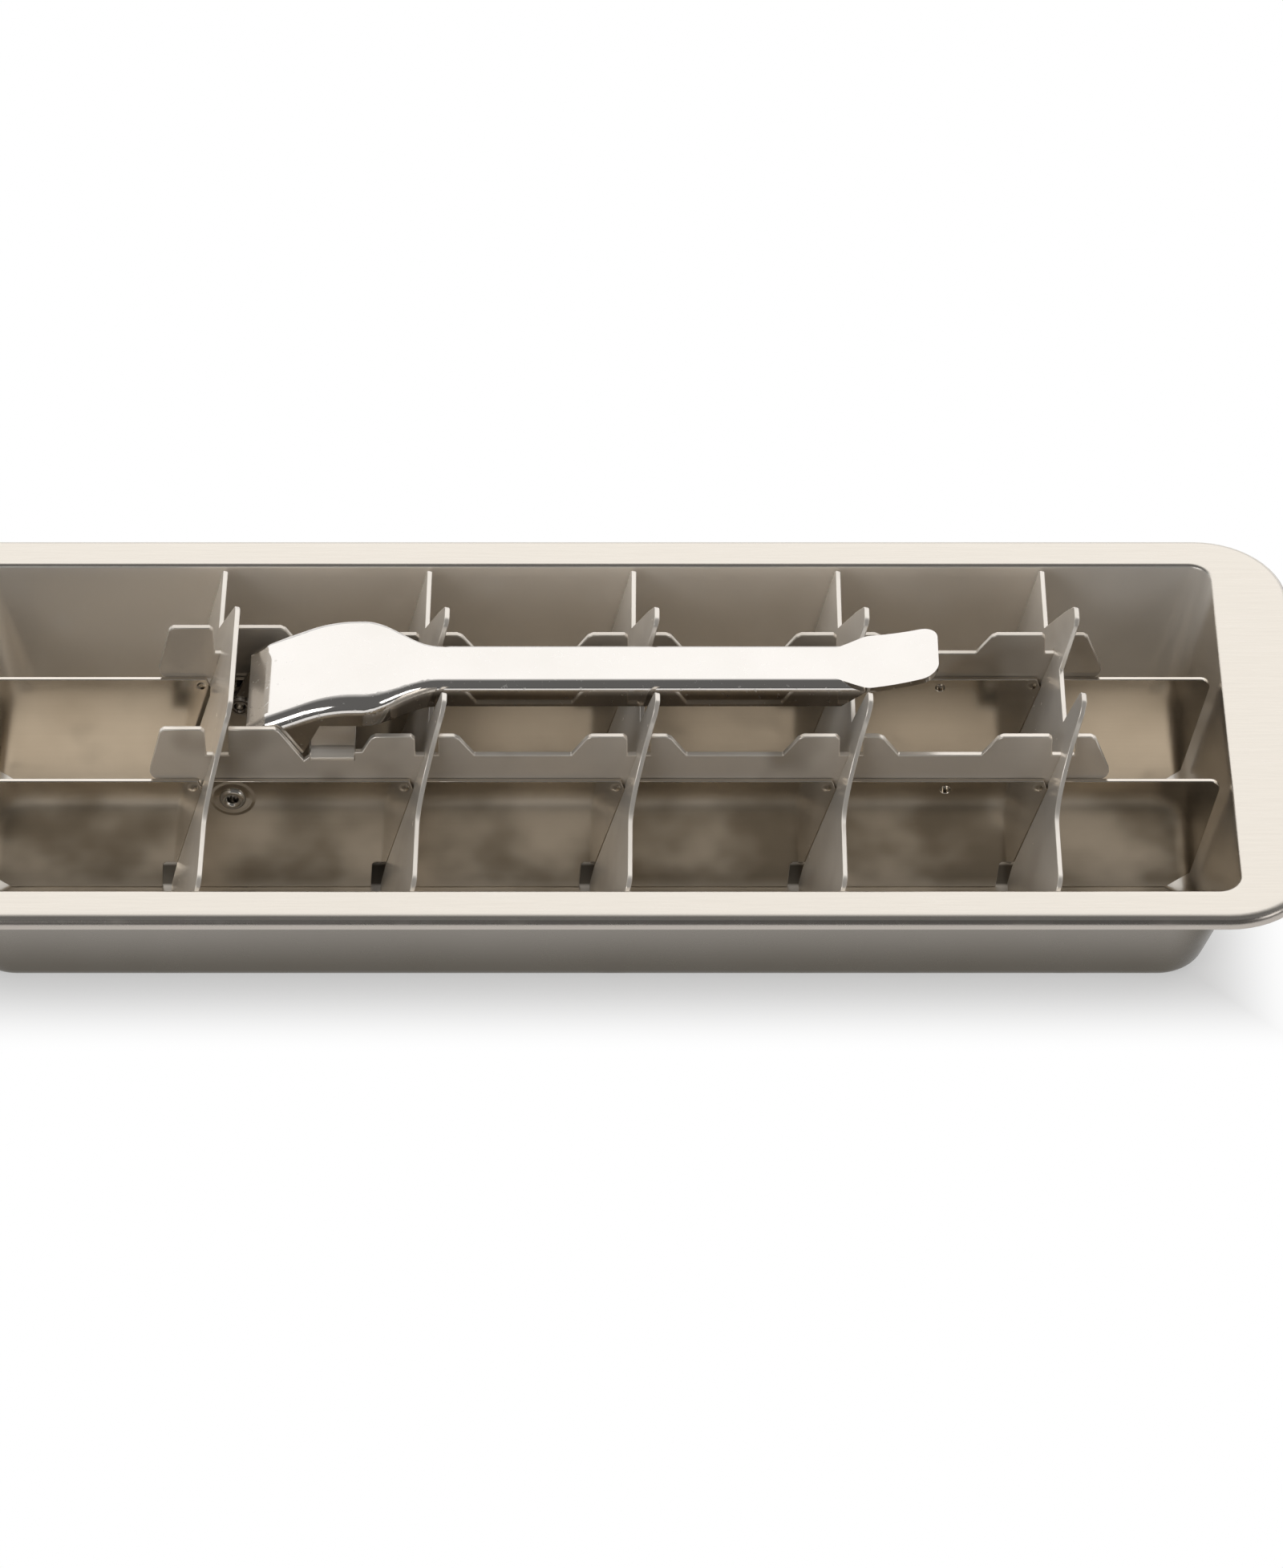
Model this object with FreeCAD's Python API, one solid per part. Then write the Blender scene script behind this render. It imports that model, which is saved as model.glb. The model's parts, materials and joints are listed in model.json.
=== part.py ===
"""Steel ice cube tray with a lift-out lever grid.

A drawn pan with a wide rolled rim holds a grid of two long walls and five leaning
cross blades. A lever, pivoted on two hollow eyelets, pulls a slide frame along the
walls, and the slide frame swings every blade upright, which breaks the ice loose.

Frame: +X along the tray towards the lever's free end, +Z up, millimetres.
The origin is under the middle of the tray, on the surface that it stands on.
"""
import FreeCAD, Part

import math
import os

from FreeCAD import Vector

# ---- pan ----------------------------------------------------------------
rim_length = 285.8        # outside of the rolled rim
rim_width = 114.2
rim_height = 31.0         # from the table to the top of the rim
rim_corner = 18.4         # corner radius of the rim, seen from above
opening_length = 254.9    # mouth of the pan at the rim
opening_width = 97.0
tub_corner = 5.0          # upright corners of the tub, inside
end_inset = 6.1           # how far each end leans in from mouth to floor
side_inset = 7.8          # how far each side leans in
floor_radius = 3.3        # bend between floor and sides, inside
pan_sheet = 0.7
rim_bend = 2.0            # outer bend of the rolled edge
rim_drop = 2.6            # height of the rolled edge
rim_inner_bend = 0.9      # bevel inside the rolled edge

# ---- long walls ---------------------------------------------------------
wall_drop = 1.55          # top edge of the walls below the rim
wall_sheet = 0.9
wall_spacing = 30.4       # middle to middle
wall_end_gap = 1.3        # wall end to pan end
wall_top_corner = 2.0
wall_foot_corner = 4.0    # straight cut across the foot's corners
drain_width = 5.8         # water passage under each blade
drain_height = 6.8
drain_taper = 0.6
drain_corner = 0.5        # straight cut across the passage's upper corners

# ---- cross blades: places across the tray, heights above the walls' top --
blade_count = 5
blade_pitch = 41.9
blade_sheet = 1.0
blade_lean = 16.5         # degrees, top towards the lever's free end
pivot_depth = 1.8         # bridge of the blade below the wall's top edge
pivot_play = 0.12
blade_length = 25.4       # from the pivot to the blade's foot
blade_side_gap = 1.0      # blade end to pan side
blade_foot_corner = 5.5   # straight cut across the foot's corners
blade_end_corner = 3.4    # near end of the top edge
blade_far_corner = 1.0    # straight cut at the far end of the top edge
near_row_rise = 0.6       # top edge over the near row of cells
far_row_rise = 2.0        # top edge over the far row
near_slope_foot = 29.0    # the near horn's curved outer edge: foot, bend and top
near_slope_bend = 20.8
near_slope_top = 14.7
near_tip_outer = 13.0     # corners of the near horn's tip
near_tip_inner = 9.4
near_tip_height = 18.7
saddle_near = 7.3         # dip under the lever
saddle_far = 8.5
saddle_height = 8.2
far_tip_inner = 11.8      # corners of the far horn's tip
far_tip_outer = 16.2
far_tip_height = 18.2
far_shoulder = 20.0       # the far horn's outer edge bends here
far_shoulder_height = 13.6
far_notch = 28.2          # where it meets the edge over the far row
first_crown_near = 12.6   # corners of the first blade's straight crown
first_crown_far = 16.6
first_crown_height = 18.3
horn_tip = 1.9            # rounding of the tips
slot_gap = 0.25           # blade slot to wall, slide or ear
slot_flare = 2.1          # lead-in at the foot of the slot

# ---- slide frame --------------------------------------------------------
slide_sheet = 1.2
slide_wall_gap = 0.15
slide_travel = 4.0
tab_height = 10.9         # tops of the tabs above the wall
first_tab_height = 12.8   # tabs beside the first blade
low_height = 6.0          # edge of the plates between tabs
slide_foot = 8.7          # plates below the wall's top edge
slide_end_foot = 0.6      # raised ends of the plates below the wall's top edge
foot_rise = 2.0           # run of the slope up to the raised right end
tab_slope = 3.4           # run of a tab's sloping side
tab_lengths = (8.4, 7.7, 7.8, 10.4)  # tabs before blades two to five
push_tab_length = 3.7     # tab that pushes the blade
push_gap = 0.35           # tab to blade at rest
free_gap = 3.2            # notch in front of each blade
end_tab_length = 8.7      # left tab, along its top edge
end_tab_spread = 3.3      # how far the left tab widens downwards
tip_tab_spread = 4.2
tab_corner = 0.7          # straight cut across a tab's corner
end_corner = 2.3
first_tab_length = 9.7
slide_step = 5.3          # step in the plates' foot, left of the lever's pivot
vee_run = 5.0             # relief for the lever's ears
vee_depth = 1.5
vee_rise = 2.4
web_width = 8.9
web_height = 0.8          # web above the edge of the plates
web_bend = 2.3
web_foot = 2.1            # lower edge of the web below the edge of the plates
web_margin = 1.4

# ---- lever --------------------------------------------------------------
lever_sheet = 1.2
pivot_offset = 4.9        # eyelet to the right of the first blade, at the wall's top
pivot_drop = 4.55         # eyelet below the wall's top edge
ear_gap = 0.15            # ear to slide plate
ear_radius = 3.3
ear_length = 14.7         # lip to the back of the ears
ear_slant = 3.1
ear_foot = 4.3            # end of the ear's foot, right of the pivot
ear_shoulder = 6.4        # height of the slanted part under the skirt
ear_waist = 6.0           # rounding of the hollow behind the ear
lip_run = 3.1             # lip edge, right of the pivot
lip_rise = 14.9           # lip edge, above the pivot
lip_length = 3.5
lip_bend_rise = 2.5
lip_bend = 2.0
lip_foot = 4.4            # depth of the ear's front edge under the lip
head_length = 23.2        # lip to neck
head_crest = 18.6         # top of the head above the wall
head_roll = 3.2           # rolled corner of the head
head_skirt = 12.6         # lower edge of the head's sides above the wall
crest_run = 16.4
crest_bend = 25.0
neck_length = 14.5
neck_stations = 4
bar_half = 6.3
bar_top = 17.4            # top of the bar above the wall
bar_roll = 1.9
bar_skirt = 5.8           # height of the bar's rolled sides
bar_length = 78.6
skirt_end = 6.3
skirt_corner = 3.0
tongue_length = 14.1
tongue_half = 7.8
tongue_narrowing = 0.5
tongue_rise = 3.9
tongue_waist = 4.4        # roundings where the tongue widens
tongue_corner = 3.6       # corners of its tip
tongue_lap = 2.0          # tongue runs back into the bar's top

# ---- eyelets ------------------------------------------------------------
eyelet_radius = 1.55
eyelet_bore = 1.0
eyelet_flange = 2.65
eyelet_flange_height = 0.8
eyelet_flare = 2.3
eyelet_flare_height = 0.7
eyelet_play = 0.05

# ---- bosses pressed into the long walls ---------------------------------
boss_radius = 1.45
boss_drop = 2.2
boss_offset = 21.3        # before the last blade
boss_wall = 0.5
boss_cap = 0.6
slot_play = 0.2           # boss and eyelet to the slots they run in

cut_past = 1.0            # cutting shapes reach this far past what they cut

# ---- values worked out from the sizes above -----------------------------
lean = math.radians(blade_lean)
wall_top = rim_height - wall_drop
wall_y = wall_spacing / 2
wall_face = wall_y - wall_sheet / 2
pan_depth = rim_height - pan_sheet
blade_shift = (wall_top - pan_sheet) * math.tan(lean)
blade_x = [blade_shift + (i - (blade_count - 1) / 2) * blade_pitch for i in range(blade_count)]
blade_half = blade_sheet / 2 / math.cos(lean)
pivot_setback = pivot_depth * math.tan(lean)
pivot_x = blade_x[0] + pivot_offset
pivot_z = wall_top - pivot_drop
boss_x = blade_x[-1] - boss_offset
boss_z = wall_top - boss_drop
slide_inner = wall_face - slide_wall_gap - slide_sheet
ear_outer = slide_inner - ear_gap
hole_radius = eyelet_radius + eyelet_play

os.makedirs("parts", exist_ok=True)


# ---- outlines and plain solids ------------------------------------------
def rounded_wire(points, corners, bends=None):
    """Join points by straight edges and shape each corner by its number.

    A positive number is the radius of a tangent arc, a negative one the length of a
    straight cut. Where bends gives a pole for a point, the edge after it curves to that pole.
    """
    bends = bends or {}
    edges = []
    ends = []
    count = len(points)
    for i in range(count):
        here = points[i]
        back = (bends.get((i - 1) % count, points[i - 1]) - here).normalize()
        ahead = (bends.get(i, points[(i + 1) % count]) - here).normalize()
        if corners[i] > 0:
            half = back.getAngle(ahead) / 2
            reach = corners[i] / math.tan(half)
            middle = (back + ahead).normalize()
            centre = here + middle * (corners[i] / math.sin(half))
            ends.append((here + back * reach, centre - middle * corners[i], here + ahead * reach))
        else:
            ends.append((here - back * corners[i], None, here - ahead * corners[i]))
    for i in range(count):
        start, middle, end = ends[i]
        if middle is not None:
            edges.append(Part.Arc(start, middle, end).toShape())
        elif corners[i] < 0:
            edges.append(Part.LineSegment(start, end).toShape())
        following = ends[(i + 1) % count][0]
        if i in bends:
            curve = Part.BezierCurve()
            curve.setPoles([end, bends[i], following])
            edges.append(curve.toShape())
        elif (following - end).Length > 1e-6:
            edges.append(Part.LineSegment(end, following).toShape())
    return Part.Wire(edges)


def plate(points, corners, low_y, high_y):
    """Flat plate with an outline in XZ, from low_y to high_y."""
    outline = rounded_wire([Vector(x, low_y, z) for x, z in points], corners)
    return Part.Face(outline).extrude(Vector(0, high_y - low_y, 0))


def sheet_across(points, corners, x, thickness, bends=None):
    """Flat sheet with an outline in YZ, from x to x + thickness."""
    bends = {i: Vector(x, y, z) for i, (y, z) in (bends or {}).items()}
    outline = rounded_wire([Vector(x, y, z) for y, z in points], corners, bends)
    return Part.Face(outline).extrude(Vector(thickness, 0, 0))


def rounded_block(length, width, corner, low_z, high_z):
    """Block about the Z axis with four rounded upright edges."""
    x = length / 2
    y = width / 2
    points = [Vector(x, -y, low_z), Vector(x, y, low_z), Vector(-x, y, low_z), Vector(-x, -y, low_z)]
    return Part.Face(rounded_wire(points, [corner] * 4)).extrude(Vector(0, 0, high_z - low_z))


def cylinder_y(x, z, radius, low_y, high_y):
    """Round bar or hole along Y."""
    return Part.makeCylinder(radius, high_y - low_y, Vector(x, low_y, z), Vector(0, 1, 0))


def obround_y(x, z, radius, travel, low_y, high_y):
    """Slot along X with round ends, from x to x + travel, cut along Y."""
    slot = Part.makeBox(travel, high_y - low_y, 2 * radius, Vector(x, low_y, z - radius))
    slot = slot.fuse(cylinder_y(x, z, radius, low_y, high_y))
    return slot.fuse(cylinder_y(x + travel, z, radius, low_y, high_y))


def edges_at_height(shape, z):
    """Edges of the shape that lie wholly at height z."""
    return [e for e in shape.Edges
            if abs(e.BoundBox.ZMin - z) < 1e-4 and abs(e.BoundBox.ZMax - z) < 1e-4]


# ---- pan ----------------------------------------------------------------
def pan_half_length(z):
    """Inside half length of the pan at height z."""
    return opening_length / 2 - end_inset * (rim_height - z) / pan_depth


def pan_half_width(z):
    """Inside half width of the pan at height z."""
    return opening_width / 2 - side_inset * (rim_height - z) / pan_depth


def tub(grow, floor_z):
    """Tapered tub with rounded corners and floor; grow moves its sides outwards."""
    low_x = pan_half_length(floor_z) + grow
    low_y = pan_half_width(floor_z) + grow
    high_x = pan_half_length(rim_height) + grow
    high_y = pan_half_width(rim_height) + grow
    body = Part.makeWedge(-low_x, floor_z, -low_y, -high_y, -high_x,
                          low_x, rim_height, low_y, high_y, high_x)
    body.rotate(Vector(0, 0, 0), Vector(1, 0, 0), 90)
    upright = [e for e in body.Edges if e.BoundBox.ZLength > rim_height / 2]
    body = body.makeFillet(tub_corner + grow, upright)
    return body.makeFillet(floor_radius + grow, edges_at_height(body, floor_z))


def make_pan():
    """Drawn pan: tapered tub, flat rim and rolled-down edge, all one sheet."""
    foot = rim_height - rim_drop
    under = rim_height - pan_sheet
    rim = rounded_block(rim_length, rim_width, rim_corner, foot, rim_height)
    rim = rim.makeFillet(rim_bend, edges_at_height(rim, rim_height))
    hollow = rounded_block(rim_length - 2 * pan_sheet, rim_width - 2 * pan_sheet,
                           rim_corner - pan_sheet, foot, under)
    hollow = hollow.makeChamfer(rim_inner_bend, edges_at_height(hollow, under))
    outside = tub(pan_sheet, 0)
    inside = tub(0, pan_sheet)
    return rim.cut(hollow).fuse(outside).cut(inside)


# ---- long walls ---------------------------------------------------------
def bridge_notch(x):
    """Notch in a wall's top edge: the blade's bridge pivots in it and swings to the left."""
    pivot = x - pivot_setback
    reach = blade_half + pivot_play
    left_top = pivot - reach - pivot_setback - pivot_play
    above = wall_top + wall_drop
    floor = wall_top - pivot_depth - blade_sheet / 2 * math.sin(lean) - pivot_play
    return [
        (pivot - reach, floor),
        (pivot + reach, floor),
        (x + reach, wall_top),
        (x + reach, above),
        (left_top, above),
        (left_top, wall_top),
    ]


def drain(x):
    """Tapered passage in a wall's foot, under the blade that stands at x."""
    middle = x - (wall_top - pan_sheet - drain_height / 2) * math.tan(lean)
    half = drain_width / 2
    return [
        (middle - half, 0),
        (middle + half, 0),
        (middle + half - drain_taper, pan_sheet + drain_height),
        (middle - half + drain_taper, pan_sheet + drain_height),
    ]


def make_wall(side):
    """Long wall between two rows of cells. Its ends follow the pan's ends."""
    low_y = side * wall_y - wall_sheet / 2
    high_y = side * wall_y + wall_sheet / 2
    top = pan_half_length(wall_top) - wall_end_gap
    foot = pan_half_length(pan_sheet) - wall_end_gap
    outline = [(-foot, pan_sheet), (foot, pan_sheet), (top, wall_top), (-top, wall_top)]
    corners = [-wall_foot_corner, -wall_foot_corner, wall_top_corner, wall_top_corner]
    wall = plate(outline, corners, low_y, high_y)
    for x in blade_x:
        wall = wall.cut(plate(bridge_notch(x), [0] * 6, low_y, high_y))
        wall = wall.cut(plate(drain(x), [0, 0, -drain_corner, -drain_corner], low_y, high_y))
    boss_reach = high_y + slide_wall_gap + slide_sheet
    wall = wall.fuse(cylinder_y(boss_x, boss_z, boss_radius, low_y, boss_reach))
    bore = cylinder_y(boss_x, boss_z, boss_radius - boss_wall, low_y, boss_reach - boss_cap)
    return wall.cut(bore).cut(cylinder_y(pivot_x, pivot_z, hole_radius, low_y, high_y))


# ---- cross blades -------------------------------------------------------
def along(height):
    """Distance along a leaning blade from its pivot to a height above the wall's top."""
    return (height + pivot_depth) / math.cos(lean)


def blade_crown(first):
    """Upper edge between the near and the far row: horns and saddle, or one straight crown."""
    if first:
        crown = [(-first_crown_near, first_crown_height), (first_crown_far, first_crown_height)]
        return crown, [horn_tip, 2 * horn_tip]
    crown = [
        (-near_tip_outer, near_tip_height), (-near_tip_inner, near_tip_height),
        (-saddle_near, saddle_height), (saddle_far, saddle_height),
        (far_tip_inner, far_tip_height), (far_tip_outer, far_tip_height)]
    return crown, [horn_tip, horn_tip, 0, 0, horn_tip, horn_tip]


def make_blade(index):
    """Cross blade: horns beside the lever, slots that straddle the two long walls."""
    first = index == 0
    top_half = pan_half_width(wall_top) - blade_side_gap
    foot_half = pan_half_width(wall_top - blade_length * math.cos(lean)) - blade_side_gap
    crown, crown_corners = blade_crown(first)
    upper = [(-near_slope_foot, near_row_rise), (-near_slope_top, near_tip_height - horn_tip)]
    upper += crown
    upper += [(far_shoulder, far_shoulder_height), (far_notch, far_row_rise),
              (top_half, far_row_rise)]
    points = [(y, along(height)) for y, height in upper]
    points += [(foot_half, -blade_length), (-foot_half, -blade_length),
               (-top_half, along(near_row_rise))]
    corners = [0, 0] + crown_corners
    corners += [2 * horn_tip, 0, -blade_far_corner]
    corners += [-blade_foot_corner, -blade_foot_corner, blade_end_corner]
    slope = {0: (-near_slope_bend, along(near_row_rise))}
    blade = sheet_across(points, corners, -blade_sheet / 2, blade_sheet, slope)
    for side in (-1, 1):
        blade = blade.cut(blade_slot(side, first))
    blade.rotate(Vector(0, 0, 0), Vector(0, 1, 0), blade_lean)
    blade.translate(Vector(blade_x[index] - pivot_setback, 0, wall_top - pivot_depth))
    return blade


def blade_slot(side, first):
    """Stepped slot: low over the wall, where the bridge pivots, and high over the slide."""
    wall_high = side * wall_y + wall_sheet / 2
    slide_high = wall_high + slide_wall_gap + slide_sheet + slot_gap
    over_slide = along(low_height) + slot_gap
    foot = -blade_length - cut_past
    lead = foot + 2 * slot_flare
    low_end = side * wall_y - wall_sheet / 2 - slot_gap
    high_end = slide_high
    if first and side > 0:
        low_end = ear_outer - lever_sheet - slot_gap
    if first and side < 0:
        high_end = lever_sheet + slot_gap - ear_outer
    points = [(low_end - slot_flare, foot), (low_end, lead), (low_end, 0),
              (wall_high, 0), (wall_high, over_slide), (slide_high, over_slide)]
    if high_end > slide_high:
        points += [(slide_high, 0), (high_end, 0)]
    points += [(high_end, lead), (high_end + slot_flare, foot)]
    return sheet_across(points, [0] * len(points), -blade_sheet / 2, blade_sheet)


# ---- slide frame --------------------------------------------------------
def tab_edge(index, height):
    """X of a blade's right face at a height above the wall's top, with the push gap."""
    return blade_x[index] + height * math.tan(lean) + blade_half + push_gap


def notch_edge(index, height):
    """X of the notch's left edge, which leaves the blade free to drop back."""
    return blade_x[index] + height * math.tan(lean) - blade_half - free_gap


def slide_outline():
    """Outline of a slide plate: its upper edge from left to right, then its foot.

    Returns the points, their corner radii and the X at which the web starts.
    """
    low = wall_top + low_height
    tab = wall_top + tab_height
    first_tab = wall_top + first_tab_height
    left = notch_edge(0, first_tab_height)
    start = left - end_tab_length
    push = tab_edge(0, first_tab_height)
    vee = push + first_tab_length + vee_run
    web_start = vee + vee_rise / 2
    rise = web_start + web_width + web_margin
    points = [
        (start, first_tab), (left, first_tab), (left, low), (push, low),
        (push, first_tab), (push + first_tab_length, first_tab), (vee, low - vee_depth),
        (vee + vee_rise, low + web_height), (rise, low + web_height)]
    cut = -tab_corner
    corners = [cut, cut, 0, 0, 0, cut, 0, 0, 0]
    for i in range(1, blade_count):
        edge = notch_edge(i, tab_height)
        if i > 1:
            points += [(edge - tab_lengths[i - 1] - tab_slope, low)]
            corners += [0]
        push = tab_edge(i, tab_height)
        points += [(edge - tab_lengths[i - 1], tab), (edge, tab), (edge, low), (push, low),
                   (push, tab), (push + push_tab_length, tab)]
        corners += [cut, cut, 0, 0, 0, cut]
        if i < blade_count - 1:
            points += [(push + push_tab_length + tab_slope, low)]
            corners += [0]
    end_foot = wall_top - slide_end_foot
    foot = wall_top - slide_foot
    step = pivot_x - slide_step
    points += [
        (push + push_tab_length + tip_tab_spread, end_foot), (push - foot_rise, end_foot),
        (push - 2 * foot_rise, foot), (step, foot), (step, end_foot),
        (start - end_tab_spread, end_foot)]
    corners += [end_corner, 0, cut, cut, cut, end_corner]
    return points, corners, web_start


def web_section(x, shrink):
    """Outline of the web across the middle row in YZ; shrink gives its inner outline."""
    near = -wall_y + wall_sheet / 2 + slide_wall_gap + shrink
    far = wall_y + wall_sheet / 2 + slide_wall_gap + slide_sheet - shrink
    foot = wall_top + low_height - web_foot
    top = wall_top + low_height + web_height - shrink
    bend = web_bend - shrink
    points = [(near, foot), (far, foot), (far, top), (near, top)]
    return sheet_across(points, [0, 0, bend, bend], x, web_width)


def make_slide_frame():
    """Two notched plates beside the walls, joined by one web over the middle row."""
    points, corners, web_start = slide_outline()
    plates = []
    for side in (-1, 1):
        low_y = side * wall_y + wall_sheet / 2 + slide_wall_gap
        high_y = low_y + slide_sheet
        side_plate = plate(points, corners, low_y, high_y)
        side_plate = side_plate.cut(obround_y(
            pivot_x, pivot_z, eyelet_radius + slot_play, slide_travel, low_y, high_y))
        side_plate = side_plate.cut(obround_y(
            boss_x, boss_z, boss_radius + slot_play, slide_travel, low_y, high_y))
        plates.append(side_plate)
    arch = web_section(web_start, 0)
    box = arch.BoundBox
    corner_room = Part.makeBox(web_width, box.YLength, web_bend,
                               Vector(box.XMin, box.YMin, box.ZMax - web_bend))
    frame = plates[0].fuse(plates[1]).cut(corner_room)
    return frame.fuse(arch.cut(web_section(web_start, slide_sheet))).removeSplitter()


# ---- lever --------------------------------------------------------------
def channel_section(x, half, top, roll, skirt):
    """Closed section of the bent sheet at x: flat top, rolled corners, two skirts.

    Inside the sheet each roll is a bevel.
    """
    inner_half = half - lever_sheet
    inner_top = top - lever_sheet
    corner_z = top - roll

    def corner(side):
        centre = Vector(x, side * (half - roll), corner_z)
        low = centre + Vector(0, side * roll, 0)
        middle = centre + Vector(0, side * roll, roll) / math.sqrt(2)
        high = centre + Vector(0, 0, roll)
        return Part.Arc(low, middle, high) if side < 0 else Part.Arc(high, middle, low)

    def line(y1, z1, y2, z2):
        return Part.LineSegment(Vector(x, y1, z1), Vector(x, y2, z2))

    edges = [
        line(-half, skirt, -half, corner_z), corner(-1),
        line(roll - half, top, half - roll, top), corner(1),
        line(half, corner_z, half, skirt), line(half, skirt, inner_half, skirt),
        line(inner_half, skirt, inner_half, corner_z),
        line(inner_half, corner_z, half - roll, inner_top),
        line(half - roll, inner_top, roll - half, inner_top),
        line(roll - half, inner_top, -inner_half, corner_z),
        line(-inner_half, corner_z, -inner_half, skirt), line(-inner_half, skirt, -half, skirt)]
    return Part.Wire([e.toShape() for e in edges])


def ease(value):
    """Smooth step from 0 to 1."""
    return value * value * (3 - 2 * value)


def head_block(outline, corners, half):
    """Prism of a side view whose first four points are its top, and that top's long edges."""
    block = plate(outline, corners, -half, half)
    start_x, start_z = outline[0]
    end_x, end_z = outline[3]
    slope = (end_z - start_z) / (end_x - start_x)
    top_edges = []
    for edge in block.Edges:
        middle = edge.valueAt((edge.FirstParameter + edge.LastParameter) / 2)
        chord_z = start_z + slope * (middle.x - start_x)
        if edge.BoundBox.YLength < 1e-4 and middle.z > chord_z + 1e-3:
            top_edges.append(edge)
    return block, top_edges


def make_head():
    """Broad head in one bent sheet, with a lip in front and an ear down each side.

    Outside, the sheet's long edges are rolled; inside, each roll is a bevel.
    """
    lip_x = pivot_x + lip_run
    lip_z = pivot_z + lip_rise
    bend = (lip_x + lip_length, lip_z + lip_bend_rise)
    crest = (lip_x + crest_run, wall_top + head_crest)
    neck_x = lip_x + head_length
    skirt = wall_top + head_skirt
    ear_x = lip_x + ear_length
    foot = pivot_z - ear_radius
    outline = [
        (lip_x, lip_z), bend, crest, (neck_x, crest[1]), (neck_x, skirt), (ear_x, skirt),
        (ear_x - ear_slant, skirt - ear_shoulder), (pivot_x + ear_foot, foot),
        (pivot_x - ear_radius, foot), (lip_x, lip_z - lip_foot)]
    corners = [0, lip_bend, crest_bend, 0, 0, 0, ear_waist, ear_radius, ear_radius, 0]
    outside, rolled = head_block(outline, corners, ear_outer)
    outside = outside.makeFillet(head_roll, rolled)

    front = lip_x - 2 * lip_length
    below = foot - ear_radius
    inner = [
        (front, lip_z - 2 * lip_bend_rise - lever_sheet), (bend[0], bend[1] - lever_sheet),
        (crest[0], crest[1] - lever_sheet), (neck_x, crest[1] - lever_sheet),
        (neck_x, below), (front, below)]
    inner_corners = [0, 0, crest_bend - lever_sheet, 0, 0, 0]
    inside, bevelled = head_block(inner, inner_corners, ear_outer - lever_sheet)
    return outside.cut(inside.makeChamfer(head_roll - lever_sheet, bevelled))


def make_tongue(start, flat):
    """Flat tongue that widens past the end of the skirts and curls up for a finger."""
    wide = start + skirt_end
    end = wide + tongue_length
    narrow = bar_half - bar_roll
    tip_half = tongue_half - tongue_narrowing
    back = start - tongue_lap
    plan = [(back, -narrow), (start, -narrow), (wide, -tongue_half), (end, -tip_half),
            (end, tip_half), (wide, tongue_half), (start, narrow), (back, narrow)]
    waist = tongue_waist
    outline = rounded_wire([Vector(x, y, wall_top) for x, y in plan],
                           [0, waist, waist, tongue_corner, tongue_corner, waist, waist, 0])
    blank = Part.Face(outline).extrude(Vector(0, 0, 2 * bar_top))

    # the strip bends up in one arc that is tangent to the bar's top
    run = end - start + cut_past
    angle = 2 * math.atan(tongue_rise / run)
    radius = run / math.sin(angle)
    low_y = -2 * tongue_half

    def bent(offset, turn):
        reach = radius + offset
        return Vector(start + reach * math.sin(turn), low_y, flat + radius - reach * math.cos(turn))

    upper = Part.Arc(bent(0, 0), bent(0, angle / 2), bent(0, angle))
    lower = Part.Arc(bent(lever_sheet, angle), bent(lever_sheet, angle / 2), bent(lever_sheet, 0))
    lap = Vector(tongue_lap, 0, 0)
    corner_points = [bent(lever_sheet, 0), bent(lever_sheet, 0) - lap, bent(0, 0) - lap, bent(0, 0)]
    edges = [upper.toShape(), Part.LineSegment(bent(0, angle), bent(lever_sheet, angle)).toShape(),
             lower.toShape()]
    edges += [Part.LineSegment(a, b).toShape() for a, b in zip(corner_points, corner_points[1:])]
    strip = Part.Face(Part.Wire(edges)).extrude(Vector(0, 4 * tongue_half, 0))
    return strip.common(blank)


def make_lever():
    """Pressed channel lever: lip, broad head with ears, waisted neck, bar and tongue."""
    neck_x = pivot_x + lip_run + head_length
    bar_x = neck_x + neck_length
    bar_end = bar_x + bar_length
    crest = wall_top + head_crest
    flat = wall_top + bar_top
    skirt_bar = flat - bar_skirt
    skirt_head = wall_top + head_skirt

    def section(share):
        waist = ease(share)
        half = ear_outer + (bar_half - ear_outer) * waist
        top = crest + (flat - crest) * waist
        roll = head_roll + (bar_roll - head_roll) * waist
        skirt = skirt_head + (skirt_bar - skirt_head) * waist
        return channel_section(neck_x + neck_length * share, half, top, roll, skirt)

    neck = Part.makeLoft([section(i / neck_stations) for i in range(neck_stations + 1)], True)
    bar = Part.Face(section(1)).extrude(Vector(bar_length + skirt_end, 0, 0))
    lever = make_head().fuse(neck).fuse(bar)

    # round off the skirts where the bar ends, and let the top run on as the tongue
    reach = bar_end + skirt_end
    below = skirt_bar - cut_past
    beyond = reach + cut_past
    trim = plate([(bar_end, below), (beyond, below), (beyond, flat - bar_roll),
                  (reach, flat - bar_roll)], [0, 0, 0, skirt_corner], -bar_half, bar_half)
    lever = lever.cut(trim).fuse(make_tongue(bar_end, flat))
    lever = lever.cut(cylinder_y(pivot_x, pivot_z, hole_radius, -wall_y, wall_y))
    return lever.removeSplitter()


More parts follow.
